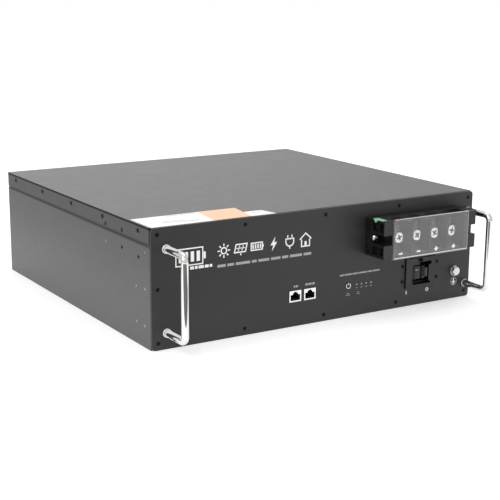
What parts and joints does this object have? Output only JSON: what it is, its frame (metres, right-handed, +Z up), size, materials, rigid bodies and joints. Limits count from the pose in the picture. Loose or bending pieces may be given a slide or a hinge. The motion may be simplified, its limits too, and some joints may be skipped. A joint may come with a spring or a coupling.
{
  "type": "battery pack",
  "caption": "Rack-mount battery pack: low steel case with front handles, a covered terminal block, breaker, network ports and indicator lights.",
  "frame": {"origin": "under the middle of the whole pack, handles included, on the plane that it stands on", "axes": "+X to the right seen from the front, +Y from the front to the back, +Z up"},
  "size_m": [0.442, 0.457, 0.1325],
  "materials": {
    "case_paint": "matte powder coat",
    "panel_paint": "matte black powder coat",
    "chrome": "polished",
    "black_moulding": "satin black moulding",
    "clear_plastic": "clear moulded plastic, lightly smoked",
    "tinned_copper": "tinned copper",
    "screw_steel": "bright zinc plate",
    "green_plastic": "green moulding",
    "lever_plastic": "satin moulding",
    "port_plating": "nickel plate",
    "jack_plastic": "black moulding",
    "button_plastic": "dark moulding",
    "light_guide_plastic": "clear moulding",
    "circuit_board": "green solder mask",
    "cell_can": "blue film on an aluminium can",
    "carrier_plastic": "natural moulding",
    "insulation_paper": "pressed board",
    "aluminium": "mill finish",
    "copper": "plain copper bar",
    "label_paper": "white and orange sticker",
    "print_white": "white printed marks",
    "fastener_black": "black oxide"
  },
  "bodies": {
    "pack": {"base_tray": "case_paint", "top_cover": "case_paint", "front_panel": "panel_paint", "handle_left": "chrome", "handle_right": "chrome", "handle_ferrule_left_top": "chrome", "handle_ferrule_left_bottom": "chrome", "handle_ferrule_right_top": "chrome", "handle_ferrule_right_bottom": "chrome", "terminal_block": "black_moulding", "breaker_body": "black_moulding", "terminal_plate_1": "tinned_copper", "terminal_plate_2": "tinned_copper", "terminal_plate_3": "tinned_copper", "terminal_plate_4": "tinned_copper", "terminal_screw_1": "screw_steel", "terminal_screw_2": "screw_steel", "terminal_screw_3": "screw_steel", "terminal_screw_4": "screw_steel", "block_screw_left": "screw_steel", "block_screw_right": "screw_steel", "earth_bolt": "screw_steel", "earth_washer": "screw_steel", "breaker_bracket": "screw_steel", "marker_tab": "green_plastic", "port_shield_1": "port_plating", "port_shield_2": "port_plating", "port_jack_1": "jack_plastic", "port_jack_2": "jack_plastic", "light_guide": "light_guide_plastic", "interface_board": "circuit_board", "management_board": "circuit_board", "cell_01": "cell_can", "cell_02": "cell_can", "cell_03": "cell_can", "cell_04": "cell_can", "cell_05": "cell_can", "cell_06": "cell_can", "cell_07": "cell_can", "cell_08": "cell_can", "cell_09": "cell_can", "cell_10": "cell_can", "cell_11": "cell_can", "cell_12": "cell_can", "cell_13": "cell_can", "cell_14": "cell_can", "cell_15": "cell_can", "cell_16": "cell_can", "link_carrier": "carrier_plastic", "insulation_sheet": "insulation_paper", "cell_clamp_left": "aluminium", "cell_clamp_right": "aluminium", "heat_sink": "aluminium", "busbar_negative": "copper", "busbar_positive": "copper"},
    "flap": {"terminal_cover": "clear_plastic"},
    "lever": {"breaker_lever": "lever_plastic"},
    "button": {"power_button": "button_plastic"}
  },
  "joints": [
    {"name": "flap_hinge", "type": "hinge", "parent": "pack", "child": "flap", "pos_m": [0.126, -0.2153, 0.1154], "axis": [-1, 0, 0], "range_deg": [0, 110]},
    {"name": "lever_swing", "type": "hinge", "parent": "pack", "child": "lever", "pos_m": [0.142, -0.1735, 0.0406], "axis": [0, 0, -1], "range_deg": [0, 44]},
    {"name": "button_press", "type": "slide", "parent": "pack", "child": "button", "axis": [0, 1, 0], "range_m": [0, 0.0008], "stiffness_N_per_m": 1000}
  ]
}
